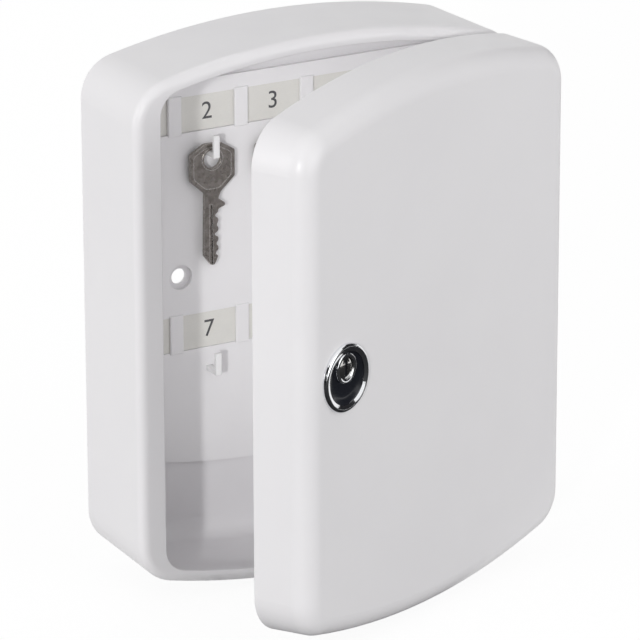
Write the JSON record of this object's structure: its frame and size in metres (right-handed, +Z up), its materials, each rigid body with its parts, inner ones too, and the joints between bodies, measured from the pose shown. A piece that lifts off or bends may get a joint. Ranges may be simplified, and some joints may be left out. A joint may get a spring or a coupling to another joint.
{
  "type": "key cabinet",
  "caption": "Wall-mounted plastic key box with arched top and bottom, a domed hinged door with a cam lock, and a numbered hook panel holding keys.",
  "frame": {"origin": "centre of the flat back face that lies on the wall", "axes": "+X to the right as seen from the front, +Y into the wall, +Z up; the door opens towards -Y"},
  "size_m": [0.2075, 0.1569, 0.2604],
  "materials": {
    "case_white": "glossy moulded ABS with a fine surface",
    "panel_white": "glossy moulded plastic",
    "hook_white": "glossy moulded plastic",
    "label_card": "uncoated card",
    "lock_chrome": "bright chrome plate",
    "zinc_steel": "zinc plated steel",
    "pin_steel": "plain steel wire",
    "wafer_brass": "stamped brass",
    "key_nickel": "nickel plated, satin"
  },
  "bodies": {
    "root": {"box_shell": "case_white", "hook_panel": "panel_white", "panel_rivets": "panel_white", "label_1": "label_card", "label_2": "label_card", "label_3": "label_card", "label_4": "label_card", "label_5": "label_card", "label_6": "label_card", "label_7": "label_card", "label_8": "label_card", "label_9": "label_card", "label_10": "label_card", "hook_1": "hook_white", "hook_2": "hook_white", "hook_3": "hook_white", "hook_4": "hook_white", "hook_5": "hook_white", "hook_6": "hook_white", "hook_7": "hook_white", "hook_8": "hook_white", "hook_9": "hook_white", "hook_10": "hook_white", "hinge_pin_upper": "pin_steel", "hinge_pin_lower": "pin_steel"},
    "door": {"door_shell": "case_white", "lock_rosette": "lock_chrome", "lock_housing": "lock_chrome", "lock_backplate": "zinc_steel", "lock_nut": "zinc_steel"},
    "lock_barrel": {"lock_plug": "lock_chrome", "lock_wafers": "wafer_brass", "lock_cam": "zinc_steel", "cam_screw": "zinc_steel"},
    "key_2_body": {"key_2": "key_nickel"},
    "key_3_body": {"key_3": "key_nickel"}
  },
  "joints": [
    {"name": "door_hinge", "type": "hinge", "parent": "root", "child": "door", "pos_m": [0.1018, -0.0545, 0], "axis": [0, 0, 1], "range_deg": [-22.3, 87.7]},
    {"name": "lock_turn", "type": "hinge", "parent": "door", "child": "lock_barrel", "pos_m": [-0.05003, -0.13838, 0.007], "axis": [0.3795, -0.9252, 0], "range_deg": [0, 180]},
    {"name": "key_2_swing", "type": "hinge", "parent": "root", "child": "key_2_body", "pos_m": [-0.0348, -0.007, 0.0634], "axis": [0, 1, 0], "range_deg": [-12, 12]},
    {"name": "key_3_swing", "type": "hinge", "parent": "root", "child": "key_3_body", "pos_m": [0, -0.007, 0.0634], "axis": [0, 1, 0], "range_deg": [-12, 12]}
  ]
}
